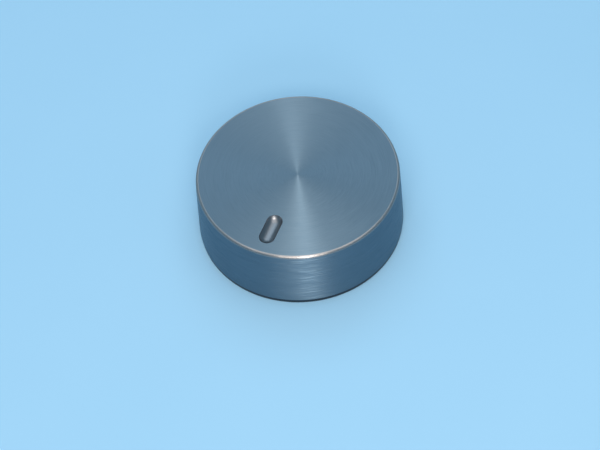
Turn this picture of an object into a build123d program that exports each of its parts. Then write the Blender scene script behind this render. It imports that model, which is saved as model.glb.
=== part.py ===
from build123d import *

import os
from math import atan2, degrees, radians, sin

# Round control knob for a household appliance.
#
# A turned aluminium cap, with a flat face, a rounded upper edge and a slightly tapered skirt, is pushed
# over a moulded plastic insert.  The insert's rim closes the skirt from below and is what the knob stands
# on.  Inside, ribs tie the insert's wall to a hub that takes a 6 mm shaft: round and loose at the mouth,
# D-shaped and close-fitting further in.  A bowed leaf spring sits in a T-shaped slot behind the flat of the D
# and presses on the shaft.
#
# Millimetres.  The origin is the centre of the foot of the knob, +Z runs along the shaft towards the face,
# and the pointer lies towards -Y.

# ---------------------------------------------------------------- driving dimensions
# Outer form of the knob
knob_height = 16.0
skirt_diameter = 45.0  # at the lower edge of the cap
face_diameter = 43.8  # where the skirt and the face would meet in a sharp corner
face_edge_radius = 0.65
skirt_edge_radius = 0.15

# Pointer: a groove cut in the face by a ball-nosed cutter, lying on a radius
pointer_cutter_radius = 2.0
pointer_depth = 1.0
pointer_travel = 4.1  # of the cutter's centre
pointer_centre_radius = 15.4

# Pocket turned into the underside of the cap
pocket_diameter = 40.0
face_thickness = 2.4
pocket_corner_radius = 0.8
pocket_mouth_chamfer = 0.3

# Groove in the pocket wall, cut with a round-nosed tool, for the insert's beads to snap into
groove_tool_radius = 0.7
groove_depth = 0.35
groove_height = 4.0  # of its middle, above the foot of the knob

# Keyway down the pocket wall, opposite the pointer
keyway_radius = 1.25
keyway_reach = 1.0  # beyond the pocket wall

# Insert: rim, wall and web
rim_height = 1.0
rim_setback = 0.1  # of the rim from the edge of the skirt
foot_edge_radius = 0.2
wall_thickness = 1.5  # at the foot
wall_draft = 0.3  # added to the wall's thickness at the web
web_thickness = 1.6

# Insert: hub, ribs and beads
hub_mouth_height = 1.2
hub_mouth_diameter = 11.0
hub_draft = 0.4  # added to the hub's radius at the web
rib_count = 6
rib_edge_thickness = 1.1
rib_draft_angle = 0.8
rib_edge_height = 2.6
inner_corner_radius = 0.5
bead_angle = 24.0

# Shaft socket in the hub, for a 6 mm shaft flatted to 4.5 mm
shaft_diameter = 6.0
shaft_flat_distance = 1.5  # from the shaft's axis to its flat
socket_end_wall = 1.3  # between the end of the socket and the top of the insert
mouth_length = 4.0  # round part, with its lead-in
mouth_lead_in = 0.6

# Leaf spring behind the flat, and the T-shaped slot that holds it
spring_thickness = 0.3
spring_end_width = 3.2
spring_end_length = 0.9
spring_leaf_width = 2.0
spring_corner_radius = 0.2
spring_press = 0.25  # how far the leaf stands into the socket past the flat
slot_lip = 0.4  # plastic between the flat and the slot
slot_end_wall = 0.5  # between the end of the slot and the end of the socket
nib_depth = 0.12  # of the ramp that keeps the spring from sliding out
nib_length = 0.4
nib_width = 1.4

# Clearances
pocket_clearance = 0.05  # cap to insert, on the radius
face_clearance = 0.1  # insert's web to the end of the pocket
bead_clearance = 0.05
key_clearance = 0.05
mouth_clearance = 0.2  # shaft to the socket's round mouth, on the radius
shaft_clearance = 0.03  # shaft to the D, on the radius and on the flat
spring_clearance = 0.05

# ---------------------------------------------------------------- sizes that follow
skirt_radius = skirt_diameter / 2
face_radius = face_diameter / 2
pocket_radius = pocket_diameter / 2
pocket_top = knob_height - face_thickness
groove_centre = pocket_radius + groove_depth - groove_tool_radius
keyway_centre = pocket_radius + keyway_reach - keyway_radius

wall_radius = pocket_radius - pocket_clearance
wall_inner_radius = wall_radius - wall_thickness
insert_top = pocket_top - face_clearance
web_underside = insert_top - web_thickness
hub_mouth_radius = hub_mouth_diameter / 2

socket_radius = shaft_diameter / 2 + shaft_clearance
flat_distance = shaft_flat_distance + shaft_clearance
socket_top = insert_top - socket_end_wall
mouth_radius = shaft_diameter / 2 + mouth_clearance
mouth_top = hub_mouth_height + mouth_length

slot_front = flat_distance + slot_lip
slot_back = slot_front + spring_thickness + spring_clearance
slot_top = socket_top - slot_end_wall
spring_foot = mouth_top + nib_length + spring_clearance
spring_head = slot_top - spring_clearance
spring_middle = (slot_front + slot_back) / 2  # mid-thickness of its flat ends


# ---------------------------------------------------------------- cap
with BuildPart() as cap:
    # Outer form, tapered from the lower edge of the skirt to the face
    with BuildSketch(Plane.XZ):
        with BuildLine():
            Polyline(
                (0, rim_height),
                (skirt_radius, rim_height),
                (face_radius, knob_height),
                (0, knob_height),
                close=True,
            )
        make_face()
    revolve(axis=Axis.Z)
    skirt_edge, face_edge = cap.edges().filter_by(GeomType.CIRCLE).sort_by(Axis.Z)
    fillet(face_edge, radius=face_edge_radius)
    fillet(skirt_edge, radius=skirt_edge_radius)

    # Pocket for the insert, with the turning tool's nose radius in its corner
    with BuildSketch(Plane.XY.offset(rim_height)):
        Circle(pocket_radius)
    extrude(amount=pocket_top - rim_height, mode=Mode.SUBTRACT)
    pocket_end = cap.faces().filter_by(Plane.XY).sort_by(Axis.Z)[-2]
    fillet(pocket_end.edges(), radius=pocket_corner_radius)
    cap_foot = cap.faces().sort_by(Axis.Z)[0]
    chamfer(cap_foot.edges().sort_by(SortBy.RADIUS)[0], length=pocket_mouth_chamfer)

    # Snap groove
    with BuildSketch(Plane.XZ):
        with Locations((groove_centre, groove_height)):
            Circle(groove_tool_radius)
    revolve(axis=Axis.Z, mode=Mode.SUBTRACT)

    # Keyway
    with BuildSketch(Plane.XY.offset(rim_height)):
        with Locations((0, keyway_centre)):
            Circle(keyway_radius)
    extrude(amount=pocket_top - pocket_corner_radius - rim_height, mode=Mode.SUBTRACT)

    # Pointer: the space that the ball-nosed cutter sweeps
    cutter_height = knob_height + pointer_cutter_radius - pointer_depth
    with Locations((0, -pointer_centre_radius, cutter_height)):
        Cylinder(pointer_cutter_radius, pointer_travel, rotation=(90, 0, 0), mode=Mode.SUBTRACT)
        with Locations((0, -pointer_travel / 2, 0), (0, pointer_travel / 2, 0)):
            Sphere(pointer_cutter_radius, mode=Mode.SUBTRACT)
cap.part.label = "cap"


# ---------------------------------------------------------------- insert
with BuildPart() as insert:
    # Rim, wall and web in one section
    with BuildSketch(Plane.XZ):
        with BuildLine():
            Polyline(
                (wall_inner_radius, 0),
                (skirt_radius - rim_setback, 0),
                (skirt_radius - rim_setback, rim_height),
                (wall_radius, rim_height),
                (wall_radius, insert_top - pocket_corner_radius),
                (wall_radius - pocket_corner_radius, insert_top),
                (0, insert_top),
                (0, web_underside),
                (wall_inner_radius - wall_draft, web_underside),
                close=True,
            )
        make_face()
    revolve(axis=Axis.Z)
    fillet(insert.faces().sort_by(Axis.Z)[0].edges(), radius=foot_edge_radius)

    # Hub
    with BuildSketch(Plane.XZ):
        with BuildLine():
            Polyline(
                (0, hub_mouth_height),
                (hub_mouth_radius, hub_mouth_height),
                (hub_mouth_radius + hub_draft, web_underside),
                (0, web_underside),
                close=True,
            )
        make_face()
    revolve(axis=Axis.Z)

    # Ribs, from the middle of the hub's wall to the middle of the outer wall
    rib_start = (mouth_radius + hub_mouth_radius) / 2
    rib_end = (wall_inner_radius + wall_radius) / 2
    with BuildSketch(Plane.XY.offset(rib_edge_height)):
        with PolarLocations((rib_start + rib_end) / 2, rib_count, start_angle=90):
            Rectangle(rib_end - rib_start, rib_edge_thickness)
    extrude(amount=web_underside - rib_edge_height, taper=-rib_draft_angle)
    web_corners = insert.edges().filter_by_position(Axis.Z, web_underside - 0.01, web_underside + 0.01)
    fillet(web_corners, radius=inner_corner_radius)

    # Beads that snap into the cap's groove, one in the middle of each bay between the ribs
    first_bead_angle = 90 + (360 / rib_count - bead_angle) / 2
    for bead in range(rib_count):
        bead_plane = Plane.XZ.rotated((0, 0, first_bead_angle + bead * 360 / rib_count))
        with BuildSketch(bead_plane):
            with Locations((groove_centre, groove_height)):
                Circle(groove_tool_radius - bead_clearance)
            with Locations((wall_radius - wall_thickness / 2, groove_height)):
                Rectangle(
                    2 * groove_tool_radius,
                    2 * groove_tool_radius,
                    align=(Align.MAX, Align.CENTER),
                    mode=Mode.SUBTRACT,
                )
        revolve(axis=Axis.Z, revolution_arc=bead_angle)

    # Key that fills the cap's keyway
    with BuildSketch(Plane.XY.offset(rim_height)):
        with Locations((0, keyway_centre)):
            Circle(keyway_radius - key_clearance)
    extrude(amount=insert_top - pocket_corner_radius - rim_height)

    # Shaft socket: D-shaped for its whole depth, then opened out to a looser full circle at the mouth
    with BuildSketch(Plane.XY.offset(hub_mouth_height)):
        Circle(socket_radius)
        with Locations((0, flat_distance)):
            Rectangle(
                2 * socket_radius,
                socket_radius,
                align=(Align.CENTER, Align.MIN),
                mode=Mode.SUBTRACT,
            )
    extrude(amount=socket_top - hub_mouth_height, mode=Mode.SUBTRACT)
    with BuildSketch(Plane.XY.offset(hub_mouth_height)):
        Circle(mouth_radius)
    extrude(amount=mouth_length, mode=Mode.SUBTRACT)
    hub_mouth = insert.faces().filter_by(Plane.XY).filter_by_position(
        Axis.Z, hub_mouth_height - 0.01, hub_mouth_height + 0.01
    )[0]
    chamfer(hub_mouth.edges().sort_by(SortBy.RADIUS)[0], length=mouth_lead_in)

    # T-shaped slot behind the flat: a neck for the leaf, and wider behind it for the spring's ends
    with BuildSketch(Plane.XY.offset(mouth_top)):
        with Locations((0, slot_front)):
            Rectangle(
                spring_end_width + 2 * spring_clearance,
                slot_back - slot_front,
                align=(Align.CENTER, Align.MIN),
            )
        with Locations((0, flat_distance)):
            Rectangle(
                spring_leaf_width + 2 * spring_clearance,
                slot_lip,
                align=(Align.CENTER, Align.MIN),
            )
    extrude(amount=slot_top - mouth_top, mode=Mode.SUBTRACT)

    # Ramped nib that the spring snaps past
    with BuildSketch(Plane.YZ):
        with BuildLine():
            Polyline(
                (slot_back, mouth_top),
                (slot_back - nib_depth, mouth_top + nib_length),
                (slot_back, mouth_top + nib_length),
                close=True,
            )
        make_face()
    extrude(amount=nib_width / 2, both=True)
insert.part.label = "insert"


# ---------------------------------------------------------------- shaft spring
# The leaf's bow is three arcs: a bend, the crest and a bend, each tangent to the next.
bow_rise = spring_middle - spring_thickness / 2 - flat_distance + spring_press
bow_half_length = (spring_head - spring_foot) / 2 - spring_end_length
bow_angle = 2 * degrees(atan2(bow_rise, bow_half_length))
bow_radii = bow_half_length / sin(radians(bow_angle))  # the bend's and the crest's, added together
bend_radius = bow_radii / 3
crest_radius = bow_radii - bend_radius

with BuildPart() as shaft_spring:
    # The strip, bent to its bow
    with BuildSketch(Plane.YZ):
        with BuildLine():
            lower_end = Line((spring_middle, spring_foot), (spring_middle, spring_foot + spring_end_length))
            lower_bend = JernArc(lower_end @ 1, lower_end % 1, bend_radius, bow_angle)
            crest = JernArc(lower_bend @ 1, lower_bend % 1, crest_radius, -2 * bow_angle)
            upper_bend = JernArc(crest @ 1, crest % 1, bend_radius, bow_angle)
            Line(upper_bend @ 1, (spring_middle, spring_head))
        trace(line_width=spring_thickness)
    extrude(amount=spring_end_width / 2, both=True)

    # The blank's outline: a narrow leaf between two wide ends
    with BuildSketch(Plane.XZ) as blank:
        with Locations((0, (spring_foot + spring_head) / 2)):
            Rectangle(spring_end_width, spring_head - spring_foot)
            Rectangle(spring_end_width, 2 * bow_half_length, mode=Mode.SUBTRACT)
            Rectangle(spring_leaf_width, spring_head - spring_foot)
        fillet(blank.vertices(), radius=spring_corner_radius)
    extrude(amount=-slot_back, mode=Mode.INTERSECT)
shaft_spring.part.label = "shaft_spring"


# ---------------------------------------------------------------- files
os.makedirs("parts", exist_ok=True)
export_step(cap.part, "parts/cap.step")
export_step(insert.part, "parts/insert.step")
export_step(shaft_spring.part, "parts/shaft_spring.step")
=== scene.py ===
import math

import bmesh
import bpy
from mathutils import Matrix, Vector


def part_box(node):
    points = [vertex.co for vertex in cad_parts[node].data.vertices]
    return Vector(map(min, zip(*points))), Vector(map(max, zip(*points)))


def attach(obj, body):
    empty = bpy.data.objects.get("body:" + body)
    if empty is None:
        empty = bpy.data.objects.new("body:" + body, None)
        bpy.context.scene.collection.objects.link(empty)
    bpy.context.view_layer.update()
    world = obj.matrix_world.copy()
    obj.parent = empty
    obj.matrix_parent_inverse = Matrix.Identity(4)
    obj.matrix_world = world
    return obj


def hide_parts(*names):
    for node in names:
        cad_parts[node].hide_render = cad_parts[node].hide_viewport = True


# Looks of the appliance control knob: turned metal cap, moulded insert and shaft spring, on a plain floor.
# Metres and degrees.  The heights of foot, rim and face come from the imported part.

# ------------------------------------------------------------------ frame
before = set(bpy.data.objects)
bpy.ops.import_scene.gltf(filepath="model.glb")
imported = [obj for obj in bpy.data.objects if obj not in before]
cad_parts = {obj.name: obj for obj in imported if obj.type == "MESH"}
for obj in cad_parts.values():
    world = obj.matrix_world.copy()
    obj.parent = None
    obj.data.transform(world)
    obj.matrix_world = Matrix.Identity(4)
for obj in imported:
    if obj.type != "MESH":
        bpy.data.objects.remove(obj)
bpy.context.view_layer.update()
cap_low, cap_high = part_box("cap")
insert_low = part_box("insert")[0]

mm = 0.001
foot_centre = Vector((0.0, 0.0, insert_low.z))
face_height = cap_high.z
rim_height = cap_low.z

# Sizes of the cap that its box doesn't give, as in the part's source
skirt_radius = 22.5 * mm
face_radius = 21.9 * mm
face_edge_radius = 0.65 * mm
skirt_edge_radius = 0.15 * mm
pocket_radius = 20.0 * mm
pocket_top = face_height - 2.4 * mm
pocket_corner_radius = 0.8 * mm
pocket_mouth_chamfer = 0.3 * mm
groove_tool_radius = 0.7 * mm
groove_depth = 0.35 * mm
groove_height = 4.0 * mm
keyway_radius = 1.25 * mm
keyway_reach = 1.0 * mm
pointer_cutter_radius = 2.0 * mm
pointer_depth = 1.0 * mm
pointer_travel = 4.1 * mm
pointer_centre_radius = 15.4 * mm

# How the cap's surface is divided
cap_segments = 192
face_rows = 24
face_edge_rows = 14
skirt_rows = 14
skirt_edge_rows = 6
rim_rows = 2
groove_rows = 10
pocket_corner_rows = 8
pocket_top_rows = 4
guard = 0.05 * mm  # a narrow row beside each rounded edge keeps the shading of the flat beside it flat
cutter_segments = 64
cutter_rings = 48
keyway_overrun = 0.5 * mm  # how far below the foot the keyway's cutter starts
sharp_angle = 30.0

# Where the cap's parts lie on its map
UV_MAP = "OFBake"
map_top = 0.88  # the turned surface takes the map up to here, and the cuts lie above
hidden_share = 0.25  # of the map's scale, inside the pocket
patch_scale = 27.0  # of the cuts on the map, for each metre
pointer_patch = 5.0 * mm  # to the middle of the pointer
keyway_patch = 12.0 * mm  # to the foot of the keyway

noise_range = (0.3, 0.7)  # most of a noise lies between these


# ------------------------------------------------------------------ material nodes
class Graph:
    """A material's node tree, with short calls for its nodes."""

    def __init__(self, name):
        self.material = bpy.data.materials.new(name)
        self.material.use_nodes = True
        self.tree = self.material.node_tree
        self.shader = self.tree.nodes["Principled BSDF"]

    def put(self, socket, value):
        if isinstance(value, bpy.types.NodeSocket):
            self.tree.links.new(value, socket)
        else:
            socket.default_value = value

    def node(self, kind, *inputs, **settings):
        made = self.tree.nodes.new(kind)
        for name, value in settings.items():
            setattr(made, name, value)
        for socket, value in zip(made.inputs, inputs):
            self.put(socket, value)
        return made

    def math(self, operation, *inputs):
        return self.node("ShaderNodeMath", *inputs, operation=operation).outputs[0]

    def vector(self, operation, *inputs):
        return self.node("ShaderNodeVectorMath", *inputs, operation=operation).outputs[0]

    def scaled(self, vector, scale):
        made = self.node("ShaderNodeVectorMath", vector, operation="SCALE")
        self.put(made.inputs["Scale"], scale)
        return made.outputs[0]

    def joined(self, x, y, z):
        return self.node("ShaderNodeCombineXYZ", x, y, z).outputs[0]

    def parted(self, vector):
        return self.node("ShaderNodeSeparateXYZ", vector).outputs

    def position(self):
        return self.node("ShaderNodeTexCoord").outputs["Object"]

    def noise(self, place, scale, detail=2.0, roughness=0.5):
        made = self.node("ShaderNodeTexNoise")
        self.put(made.inputs["Vector"], place)
        self.put(made.inputs["Scale"], scale)
        self.put(made.inputs["Detail"], detail)
        self.put(made.inputs["Roughness"], roughness)
        return made.outputs["Fac"]

    def spread(self, value, low=0.0, high=1.0, within=(0.0, 1.0)):
        """value, moved from the range within to the range from low to high."""
        return self.node("ShaderNodeMapRange", value, *within, low, high).outputs[0]

    def mix(self, factor, low, high):
        """A colour from low to high, each a colour or a socket."""
        made = self.node("ShaderNodeMix", data_type="RGBA")
        self.put(made.inputs["Factor"], factor)
        # These are the node's sockets for colours: A, B and the result.
        for socket, colour in ((made.inputs[6], low), (made.inputs[7], high)):
            self.put(socket, (*colour, 1.0) if isinstance(colour, tuple) else colour)
        return made.outputs[2]

    def finish(self, **sockets):
        """The material, with these sockets of its shader set or linked."""
        for name, value in sockets.items():
            self.put(self.shader.inputs[name.replace("_", " ").title().replace("Ior", "IOR")], value)
        return self.material


def turned_metal():
    """Aluminium turned on a lathe: fine grooves run round the axis, on the face and on the skirt."""
    axis_guard = 0.02 * mm  # the least radius to divide by
    ripple = 0.03  # how far streaks and fine grooves each tilt the surface across their run
    edge_share = 0.1  # of the tilts and of the face's mixed finish, left on the rounded edge
    streak_roughness = 0.02
    edge_polish = 0.16  # off the roughness
    face_metallic = 0.72  # the flat face also scatters some light evenly
    # The grey of these two colours is the metal's own; their blue is painted reflection of the blue floor
    # and world.
    dark_metal_with_painted_blue = (0.150, 0.226, 0.292)
    light_metal_with_painted_blue = (0.168, 0.244, 0.310)
    # Lighter on the rounded edge: partly a burnished edge, partly a painted highlight along the rim.
    burnished_metal_and_painted_highlight = (0.36, 0.345, 0.345)

    graph = Graph("turned_metal")
    x, y, z = graph.parted(graph.position())
    squares = graph.math("ADD", graph.math("MULTIPLY", x, x), graph.math("MULTIPLY", y, y))
    radius = graph.math("MAXIMUM", graph.math("SQRT", squares), axis_guard)
    across = graph.math("SUBTRACT", radius, z)  # grows outwards on the face and downwards on the skirt
    outwards = graph.joined(graph.math("DIVIDE", x, radius), graph.math("DIVIDE", y, radius), 0.0)

    def grooves(length, width, detail=2.0):
        """Noise in streaks of about that length in radians round the axis, and that width across."""
        ring = graph.scaled(outwards, 1 / length)
        step = graph.joined(0.0, 0.0, graph.math("DIVIDE", across, width))
        return graph.noise(graph.vector("ADD", ring, step), scale=1.0, detail=detail)

    streaks = grooves(length=0.26, width=0.18 * mm)
    marks = graph.spread(grooves(length=0.24, width=0.15 * mm), within=(0.51, 0.62))
    fine = grooves(length=0.35, width=0.11 * mm, detail=1.0)

    # The face is the upward part of the surface, and its rounded edge is burnished: smoother, and lighter in
    # colour, which also paints a highlight along the rim.
    normal = graph.node("ShaderNodeNewGeometry").outputs["Normal"]
    upward = graph.parted(normal)[2]
    on_face = graph.spread(upward, within=(0.3, 0.7))
    above_skirt = graph.spread(upward, within=(0.05, 0.4))
    off_flat_face = graph.spread(upward, low=1.0, high=0.0, within=(0.99, 1.0))
    on_edge = graph.math("MULTIPLY", above_skirt, off_flat_face)
    off_edge = graph.spread(on_edge, low=1.0, high=edge_share)

    def by_place(skirt, face):
        """One value on the skirt and another on the face."""
        return graph.spread(on_face, low=skirt, high=face)

    # All grooves of the face lean a little outwards.  Scattered marks lean towards the rounded edge, on the
    # skirt far more than on the face.
    tangent = graph.vector("CROSS_PRODUCT", (0.0, 0.0, 1.0), outwards)
    slope = graph.vector("CROSS_PRODUCT", tangent, normal)  # outwards on the face and down the skirt
    mark_lean = graph.math("MULTIPLY", marks, by_place(skirt=0.55, face=0.10))
    mark_lean = graph.math("MULTIPLY", mark_lean, by_place(skirt=-1.0, face=1.0))
    lean = graph.math("ADD", mark_lean, by_place(skirt=0.0, face=0.12))
    ripples = graph.math("ADD", graph.spread(streaks, -ripple, ripple), graph.spread(fine, -ripple, ripple))
    across_tilt = graph.math("ADD", ripples, lean)
    along_tilt = graph.math("MULTIPLY", graph.spread(streaks, -1.0, 1.0), by_place(skirt=0.13, face=0.05))
    tilt = graph.vector("ADD", graph.scaled(slope, across_tilt), graph.scaled(tangent, along_tilt))
    tilted = graph.vector("NORMALIZE", graph.vector("ADD", normal, graph.scaled(tilt, off_edge)))

    streaked = graph.spread(streaks, -streak_roughness, streak_roughness, noise_range)
    roughness = graph.math("ADD", streaked, by_place(skirt=0.44, face=0.49))
    roughness = graph.math("SUBTRACT", roughness, graph.math("MULTIPLY", on_edge, edge_polish))
    bright_marks = graph.math("MULTIPLY", marks, by_place(skirt=0.10, face=0.0))
    roughness = graph.math("SUBTRACT", roughness, bright_marks)
    colour = graph.mix(graph.spread(fine, within=noise_range), dark_metal_with_painted_blue, light_metal_with_painted_blue)
    # The rounded edge takes the lighter colour, which paints part of the rim's highlight.
    colour = graph.mix(on_edge, colour, burnished_metal_and_painted_highlight)
    flat_face = graph.math("MULTIPLY", on_face, off_edge)
    round_axis = graph.node("ShaderNodeTangent", direction_type="RADIAL", axis="Z")
    return graph.finish(
        base_color=colour,
        metallic=graph.spread(flat_face, low=1.0, high=face_metallic),
        roughness=roughness,
        anisotropic=0.93,
        anisotropic_rotation=0.25,
        normal=tilted,
        tangent=round_axis.outputs[0],
    )


def milled_metal():
    """The same aluminium where a ball-nosed cutter left it smoother."""
    graph = Graph("milled_metal")
    marks = graph.noise(graph.position(), scale=9000.0)
    roughness = graph.spread(marks, low=0.33, high=0.39, within=noise_range)
    colour = graph.mix(marks, low=(0.22, 0.230, 0.250), high=(0.24, 0.250, 0.270))
    return graph.finish(base_color=colour, metallic=1.0, roughness=roughness)


def moulded_plastic():
    """Black moulded plastic with the fine grain of an eroded mould."""
    graph = Graph("moulded_plastic")
    place = graph.position()
    grain = graph.noise(place, scale=7000.0, detail=3.0, roughness=0.6)
    clouds = graph.noise(place, scale=160.0)
    # The faint blue in this black is painted reflection of the blue floor.
    colour = graph.mix(clouds, low=(0.004, 0.008, 0.018), high=(0.007, 0.012, 0.024))
    roughness = graph.spread(grain, low=0.26, high=0.40, within=noise_range)
    bump = graph.node("ShaderNodeBump")
    graph.put(bump.inputs["Strength"], 0.6)
    graph.put(bump.inputs["Distance"], 0.02 * mm)
    graph.put(bump.inputs["Height"], grain)
    return graph.finish(base_color=colour, roughness=roughness, normal=bump.outputs[0])


def spring_steel():
    """Rolled strip, with its grain along the leaf."""
    graph = Graph("spring_steel")
    along = graph.node("ShaderNodeMapping", graph.position())
    graph.put(along.inputs["Scale"], (9000.0, 9000.0, 600.0))
    grain = graph.noise(along.outputs[0], scale=1.0)
    roughness = graph.spread(grain, low=0.25, high=0.42, within=noise_range)
    colour = graph.mix(grain, low=(0.46, 0.45, 0.44), high=(0.56, 0.55, 0.54))
    return graph.finish(base_color=colour, metallic=1.0, roughness=roughness)


def pale_blue():
    """The floor's colour, nearly even."""
    graph = Graph("floor")
    clouds = graph.noise(graph.position(), scale=20.0)
    colour = graph.mix(clouds, low=(0.35, 0.61, 0.82), high=(0.37, 0.63, 0.84))
    return graph.finish(base_color=colour, roughness=0.9, specular_ior_level=0.0)


def wear(piece, *materials):
    """Gives the piece these materials in its slots."""
    for index, material in enumerate(materials):
        if index < len(piece.material_slots):
            piece.material_slots[index].link = "OBJECT"
            piece.material_slots[index].material = material
        else:
            piece.data.materials.append(material)


# ------------------------------------------------------------------ meshes and objects
def meshed(name, form):
    """The bmesh form as a mesh of that name."""
    mesh = bpy.data.meshes.new(name)
    form.to_mesh(mesh)
    form.free()
    return mesh


def placed(name, data):
    """An object in the scene, at its origin."""
    made = bpy.data.objects.new(name, data)
    bpy.context.scene.collection.objects.link(made)
    return made


# ------------------------------------------------------------------ cap
def arc(centre, radius, first, last, count):
    """Points of an arc in the section, from one angle to the other, both ends among them."""
    found = []
    for step in range(count + 1):
        angle = math.radians(first + (last - first) * step / count)
        found.append((centre[0] + radius * math.cos(angle), centre[1] + radius * math.sin(angle)))
    return found


def divided(start, end, count):
    """Points between start and end, with end but without start."""
    return [tuple(Vector(start).lerp(end, step / count)) for step in range(1, count + 1)]


def cap_section():
    """The turned section, as (radius, height) from the middle of the face round to the middle of the pocket.

    It returns the points, and how many of them lie outside the pocket.
    """
    slant = math.atan2(skirt_radius - face_radius, face_height - rim_height)

    def skirt_at(height):
        return face_radius + (face_height - height) * math.tan(slant)

    def edge_centre(height, radius):
        """Where an edge radius has its centre, at that height, to meet the skirt."""
        return (skirt_at(height) - radius / math.cos(slant), height)

    face_edge = edge_centre(face_height - face_edge_radius, face_edge_radius)
    skirt_edge = edge_centre(rim_height + skirt_edge_radius, skirt_edge_radius)
    slant_angle = math.degrees(slant)
    points = [(0.0, face_height)]
    points += divided((0.0, face_height), (face_edge[0] - guard, face_height), face_rows)
    points += arc(face_edge, face_edge_radius, 90, slant_angle, face_edge_rows)
    upper = points[-1]
    lower = arc(skirt_edge, skirt_edge_radius, slant_angle, -90, skirt_edge_rows)
    guard_share = guard / (face_height - rim_height)
    points += divided(upper, Vector(upper).lerp(lower[0], guard_share), 1)
    points += divided(points[-1], Vector(lower[0]).lerp(upper, guard_share), skirt_rows)
    points += lower
    points += divided(points[-1], (pocket_radius + pocket_mouth_chamfer, rim_height), rim_rows)
    outside = len(points)
    points.append((pocket_radius, rim_height + pocket_mouth_chamfer))
    groove = (pocket_radius + groove_depth - groove_tool_radius, groove_height)
    opening = math.degrees(math.acos((pocket_radius - groove[0]) / groove_tool_radius))
    points += arc(groove, groove_tool_radius, -opening, opening, groove_rows)
    corner = (pocket_radius - pocket_corner_radius, pocket_top - pocket_corner_radius)
    points += arc(corner, pocket_corner_radius, 0, 90, pocket_corner_rows)
    points += divided(points[-1], (0.0, pocket_top), pocket_top_rows)
    return points, outside


def turned(name, points, outside):
    """A mesh of the section turned round Z.  Its map's U runs round it, and V runs along the section."""
    lengths = [0.0]
    for index in range(1, len(points)):
        scale = 1.0 if index < outside else hidden_share
        lengths.append(lengths[-1] + scale * (Vector(points[index]) - Vector(points[index - 1])).length)
    heights = [map_top * length / lengths[-1] for length in lengths]
    form = bmesh.new()
    layer = form.loops.layers.uv.new(UV_MAP)
    rings = []
    for radius, height in points:
        count = cap_segments if radius > 0 else 1
        ring = []
        for step in range(count):
            angle = 2 * math.pi * step / cap_segments
            ring.append(form.verts.new((radius * math.cos(angle), radius * math.sin(angle), height)))
        rings.append(ring)
    for row in range(len(points) - 1):
        for step in range(cap_segments):
            corners = []
            for ring, column in ((row, step), (row + 1, step), (row + 1, step + 1), (row, step + 1)):
                vertex = rings[ring][column % len(rings[ring])]
                place = ((column if len(rings[ring]) > 1 else step + 0.5) / cap_segments, heights[ring])
                if vertex not in [corner[0] for corner in corners]:
                    corners.append((vertex, place))
            face = form.faces.new([vertex for vertex, place in corners])
            face.smooth = True
            for loop, (vertex, place) in zip(face.loops, corners):
                loop[layer].uv = place
    bmesh.ops.recalc_face_normals(form, faces=form.faces)
    return meshed(name, form)


def cutting_tool(name, form, patch):
    """An object made from the form, whose faces have the second material.

    patch(place, normal) says where a vertex lies on the free part of the map: how far along it, and how far
    from its middle line, in metres.
    """
    layer = form.loops.layers.uv.new(UV_MAP)
    middle = (1.0 + map_top) / 2
    for face in form.faces:
        face.smooth = True
        face.material_index = 1
        for loop in face.loops:
            along, aside = patch(loop.vert.co, face.normal)
            loop[layer].uv = (patch_scale * along, middle + patch_scale * aside)
    return placed(name, meshed(name, form))


def pointer_tool():
    """The space that a ball-nosed cutter sweeps as it travels outwards."""
    form = bmesh.new()
    bmesh.ops.create_uvsphere(
        form, u_segments=cutter_segments, v_segments=cutter_rings, radius=pointer_cutter_radius
    )
    equator = 0.001 * mm  # the ring within this of the middle stays there
    for vertex in form.verts:
        if abs(vertex.co.z) > equator:
            vertex.co.z += math.copysign(pointer_travel / 2, vertex.co.z)
    height = face_height + pointer_cutter_radius - pointer_depth
    lying = Matrix.Rotation(-math.pi / 2, 4, "X")
    form.transform(Matrix.Translation((0.0, -pointer_centre_radius, height)) @ lying)
    form.normal_update()

    def patch(place, normal):
        return pointer_patch + place.y + pointer_centre_radius, place.x

    return cutting_tool("pointer_tool", form, patch)


def keyway_tool():
    """A flat-ended cutter that goes up the pocket's wall from the foot."""
    form = bmesh.new()
    low = rim_height - keyway_overrun
    height = pocket_top - pocket_corner_radius - low
    bmesh.ops.create_cone(
        form,
        cap_ends=True,
        segments=cutter_segments,
        radius1=keyway_radius,
        radius2=keyway_radius,
        depth=height,
    )
    centre = pocket_radius + keyway_reach - keyway_radius
    form.transform(Matrix.Translation((0.0, centre, low + height / 2)))
    form.normal_update()

    def patch(place, normal):
        past_end = place.y - centre if normal.z > 0.5 else 0.0
        return keyway_patch + place.z + past_end, place.x

    return cutting_tool("keyway_tool", form, patch)


def make_cap():
    """The cap as the CAD has it, with a finer surface, a map along its grooves, and a milled pointer."""
    piece = placed("turned_cap", turned("turned_cap", *cap_section()))
    wear(piece, turned_metal(), milled_metal())
    tools = [pointer_tool(), keyway_tool()]
    for tool in tools:
        wear(tool, *piece.data.materials)
        change = piece.modifiers.new(tool.name, "BOOLEAN")
        change.operation = "DIFFERENCE"
        change.solver = "EXACT"
        change.object = tool
    bpy.context.view_layer.update()
    shape = piece.evaluated_get(bpy.context.evaluated_depsgraph_get())
    mesh = bpy.data.meshes.new_from_object(shape)
    piece.modifiers.clear()
    piece.data = mesh
    for tool in tools:
        bpy.data.objects.remove(tool)
    mesh.set_sharp_from_angle(angle=math.radians(sharp_angle))
    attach(piece, "root")
    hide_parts("cap")


# ------------------------------------------------------------------ camera
camera_azimuth = 25.5  # the camera stands a little to the right of the pointer


def facing(azimuth, elevation):
    """The turn of what looks at the knob from that azimuth and elevation."""
    round_z = Matrix.Rotation(math.radians(azimuth), 4, "Z")
    return round_z @ Matrix.Rotation(math.radians(90 - elevation), 4, "X")


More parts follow.
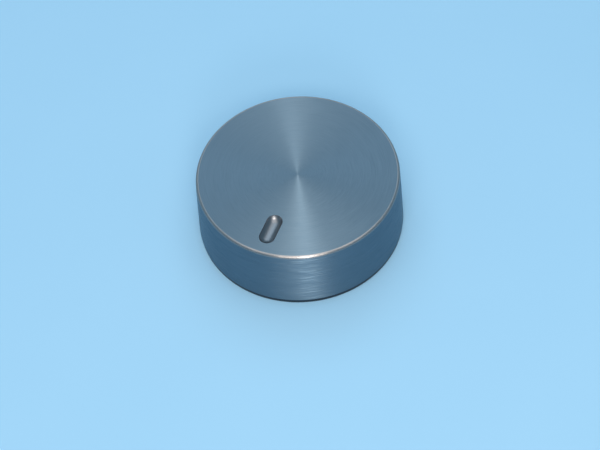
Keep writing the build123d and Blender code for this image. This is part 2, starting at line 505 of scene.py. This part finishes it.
def make_camera():
    """The camera looks down on the knob from the front."""
    elevation = 53.94
    roll = -5.12
    distance = 0.3942
    aim_right = -0.000325
    aim_up = -0.001543
    data = bpy.data.cameras.new("camera")
    data.lens = 106.98
    data.sensor_width = 36.0
    camera = placed("camera", data)
    turn = facing(camera_azimuth, elevation) @ Matrix.Rotation(math.radians(roll), 4, "Z")
    offset = Matrix.Translation((aim_right, aim_up, distance))
    camera.matrix_world = Matrix.Translation(foot_centre) @ turn @ offset
    bpy.context.scene.camera = camera


# ------------------------------------------------------------------ floor and light
def make_floor():
    """A plain pale blue floor."""
    half = 1.5
    corners = [(-half, -half, 0.0), (half, -half, 0.0), (half, half, 0.0), (-half, half, 0.0)]
    mesh = bpy.data.meshes.new("floor")
    mesh.from_pydata(corners, [], [(0, 1, 2, 3)])
    mesh.materials.append(pale_blue())
    floor = placed("floor", mesh)
    floor.location.z = foot_centre.z


def make_lamp(name, side, elevation, distance, width, depth, power, colour):
    """A soft lamp of that power in watts.  It faces the knob, side degrees to the right of the camera."""
    data = bpy.data.lights.new(name, "AREA")
    data.shape = "RECTANGLE"
    data.size = width
    data.size_y = depth
    data.energy = power
    data.color = colour
    lamp = placed(name, data)
    offset = Matrix.Translation((0.0, 0.0, distance))
    lamp.matrix_world = Matrix.Translation(foot_centre) @ facing(camera_azimuth + side, elevation) @ offset


def make_world(colour, strength):
    """Even light from all round."""
    world = bpy.data.worlds.new("world")
    bpy.context.scene.world = world
    world.use_nodes = True
    background = world.node_tree.nodes["Background"]
    background.inputs["Color"].default_value = (*colour, 1.0)
    background.inputs["Strength"].default_value = strength


# ------------------------------------------------------------------ scene
make_cap()
wear(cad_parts["insert"], moulded_plastic())
wear(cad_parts["shaft_spring"], spring_steel())
make_camera()
make_floor()

# Name, side, elevation, distance, width, depth, power and colour
lamps = [
    ("key_lamp", 1.5, 54.0, 0.70, 0.06, 0.05, 0.50, (1.0, 0.97, 0.95)),
    ("low_lamp", 1.5, 30.0, 0.70, 0.14, 0.14, 0.66, (1.0, 0.95, 0.90)),
    ("front_lamp", -3.0, 48.0, 0.70, 0.42, 0.14, 1.72, (1.0, 0.87, 0.74)),
    ("top_lamp", -4.0, 88.0, 0.75, 0.90, 0.70, 1.60, (1.0, 0.93, 0.86)),
    ("left_lamp", -90.0, 77.0, 0.70, 0.35, 0.35, 0.30, (1.0, 0.94, 0.88)),
    ("right_lamp", 90.0, 77.0, 0.70, 0.35, 0.35, 0.35, (1.0, 0.94, 0.88)),
    ("back_lamp", 180.0, 52.0, 0.80, 0.70, 0.40, 1.45, (0.66, 0.80, 0.90)),
]
for lamp in lamps:
    make_lamp(*lamp)
make_world(colour=(0.40, 0.74, 1.0), strength=0.37)

bpy.context.scene.view_settings.view_transform = "Standard"
